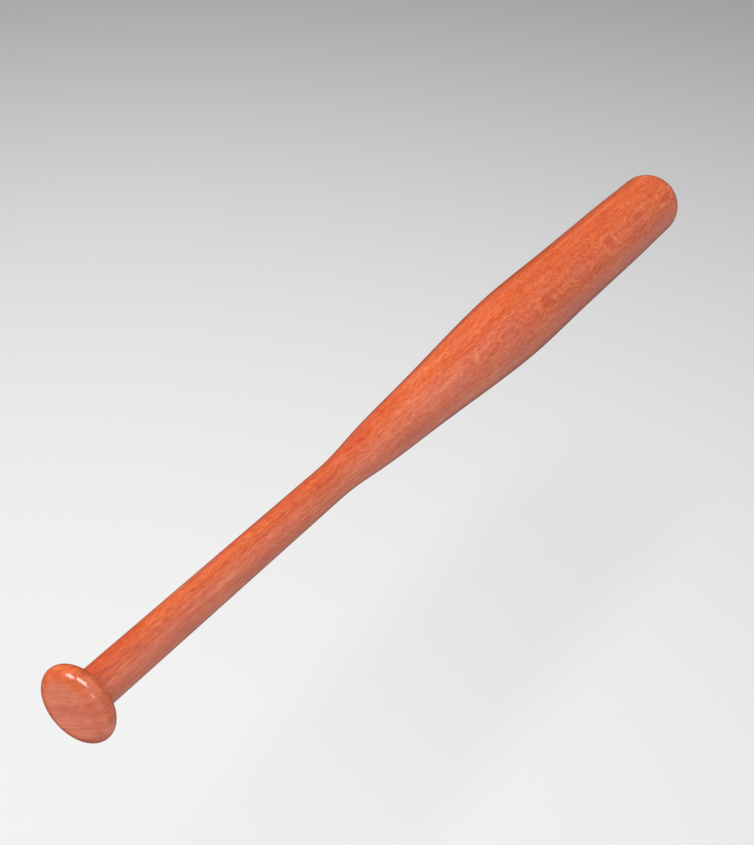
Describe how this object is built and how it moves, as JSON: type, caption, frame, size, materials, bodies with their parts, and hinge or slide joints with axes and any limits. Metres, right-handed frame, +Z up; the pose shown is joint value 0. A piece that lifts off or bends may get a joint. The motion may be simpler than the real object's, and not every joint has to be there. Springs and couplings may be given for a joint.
{
  "type": "baseball bat",
  "caption": "Turned wooden bat with a long tapered barrel, domed end, slim straight handle and a round glued-on knob.",
  "frame": {"origin": "centre of the knob's flat end face, on the turning axis", "axes": "+X along the turning axis from the knob to the barrel's domed end, +Z up with the bat lying on its side, +Y to the left seen from the knob"},
  "size_m": [0.8382, 0.0616, 0.0616],
  "materials": {
    "body_wood": "red-orange stained maple under satin-gloss clear lacquer",
    "knob_wood": "red-orange stained maple, end face showing straight grain lines, clear lacquer",
    "wedge_wood": "bare hardwood, glued"
  },
  "bodies": {
    "root": {"bat_body": "body_wood", "knob": "knob_wood", "knob_wedge": "wedge_wood"}
  },
  "joints": []
}
